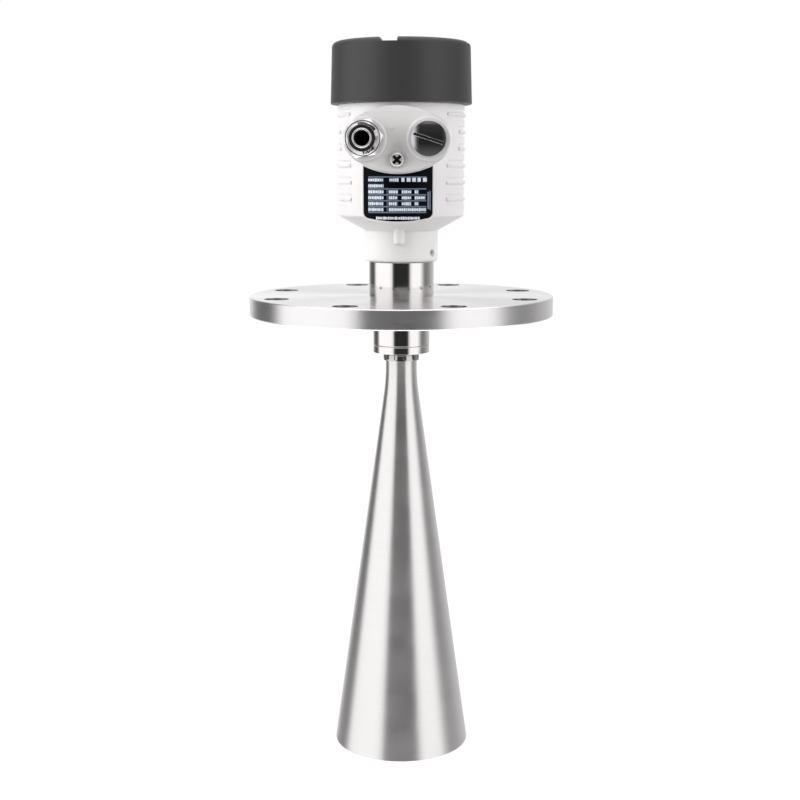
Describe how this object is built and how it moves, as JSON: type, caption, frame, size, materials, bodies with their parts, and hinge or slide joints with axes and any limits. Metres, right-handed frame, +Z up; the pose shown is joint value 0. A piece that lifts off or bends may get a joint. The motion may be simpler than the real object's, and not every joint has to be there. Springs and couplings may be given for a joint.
{
  "type": "radar level transmitter",
  "caption": "Flanged radar level transmitter with a conical horn antenna, a swivelling ribbed head, a screw cap, a cable gland and a blind plug.",
  "frame": {"origin": "centre of the flange's lower sealing face, on the horn's axis", "axes": "+Z up along the axis from the horn to the head; -Y is the head's front, with the cable entries and the nameplate; +X is to the right seen from the front"},
  "size_m": [0.222, 0.222, 0.5216],
  "materials": {
    "flange_steel": "turned stainless steel, faced in fine rings",
    "polished_steel": "stainless steel turned and polished",
    "horn_steel": "spun stainless steel, satin polish",
    "lock_steel": "turned stainless steel",
    "spring_steel": "dark spring steel",
    "screw_steel": "plated steel",
    "set_screw_steel": "dull steel",
    "nickel": "nickel-plated brass",
    "plug_nickel": "polished nickel plating",
    "brass": "turned brass",
    "seal_rubber": "black rubber",
    "window_plastic": "white fluoropolymer",
    "white_coat": "pale grey-white powder coat on die-cast aluminium",
    "cap_coat": "charcoal powder coat, fine matt texture, on die-cast aluminium",
    "plate_black": "black printed plate",
    "module_plastic": "black moulded plastic",
    "board_green": "green solder mask",
    "terminal_green": "green moulded plastic"
  },
  "bodies": {
    "antenna": {"flange": "flange_steel", "neck": "polished_steel", "waveguide": "brass", "feed_coupler": "brass", "retaining_ring": "spring_steel", "neck_seal": "seal_rubber", "hub": "polished_steel", "clamp_collar": "polished_steel", "lock_ring": "lock_steel", "horn": "horn_steel", "window_cone": "window_plastic", "window_seal": "seal_rubber"},
    "head": {"housing": "white_coat", "nameplate": "plate_black", "set_screw": "set_screw_steel", "gland_body": "nickel", "gland_washer": "seal_rubber", "electronics_module": "module_plastic", "module_screws": "screw_steel", "circuit_board": "board_green", "terminal_block": "terminal_green", "terminal_screws": "screw_steel", "inner_ground_screw": "screw_steel"},
    "gasket": {"cap_gasket": "seal_rubber"},
    "cap": {"cap": "cap_coat"},
    "gland_seal": {"gland_insert": "seal_rubber"},
    "gland_cap": {"gland_nut": "nickel"},
    "plug_seal": {"plug_washer": "seal_rubber"},
    "plug": {"blind_plug": "plug_nickel"},
    "screw_cup": {"cup_washer": "screw_steel"},
    "earth_screw": {"ground_screw": "screw_steel"}
  },
  "joints": [
    {"name": "head_swivel", "type": "hinge", "parent": "antenna", "child": "head", "pos_m": [0, 0, 0.05], "axis": [0, 0, 1], "range_deg": [-165, 165]},
    {"name": "cap_lift", "type": "slide", "parent": "head", "child": "gasket", "axis": [0, 0, 1], "range_m": [0, 0.0155]},
    {"name": "cap_turn", "type": "hinge", "parent": "gasket", "child": "cap", "pos_m": [0, 0, 0.17], "axis": [0, 0, 1], "range_deg": [0, 1800]},
    {"name": "gland_travel", "type": "slide", "parent": "head", "child": "gland_seal", "axis": [0, -1, 0], "range_m": [0, 0.0045]},
    {"name": "gland_nut_turn", "type": "hinge", "parent": "gland_seal", "child": "gland_cap", "pos_m": [-0.022, -0.07, 0.1253], "axis": [0, -1, 0], "range_deg": [0, 1080]},
    {"name": "plug_travel", "type": "slide", "parent": "head", "child": "plug_seal", "axis": [0, -1, 0], "range_m": [0, 0.009]},
    {"name": "plug_turn", "type": "hinge", "parent": "plug_seal", "child": "plug", "pos_m": [0.022, -0.06, 0.1253], "axis": [0, -1, 0], "range_deg": [0, 2160]},
    {"name": "ground_travel", "type": "slide", "parent": "head", "child": "screw_cup", "axis": [0, -1, 0], "range_m": [0, 0.0028]},
    {"name": "ground_screw_turn", "type": "hinge", "parent": "screw_cup", "child": "earth_screw", "pos_m": [0, -0.05, 0.1113], "axis": [0, -1, 0], "range_deg": [0, 1440]}
  ],
  "couplings": [
    {"joint": "cap_lift", "follows": "cap_turn", "m_per_rad": 0.00047746},
    {"joint": "gland_nut_turn", "follows": "gland_travel", "rad_per_m": 4188.8},
    {"joint": "plug_turn", "follows": "plug_travel", "rad_per_m": 4188.8},
    {"joint": "ground_screw_turn", "follows": "ground_travel", "rad_per_m": 8976}
  ]
}
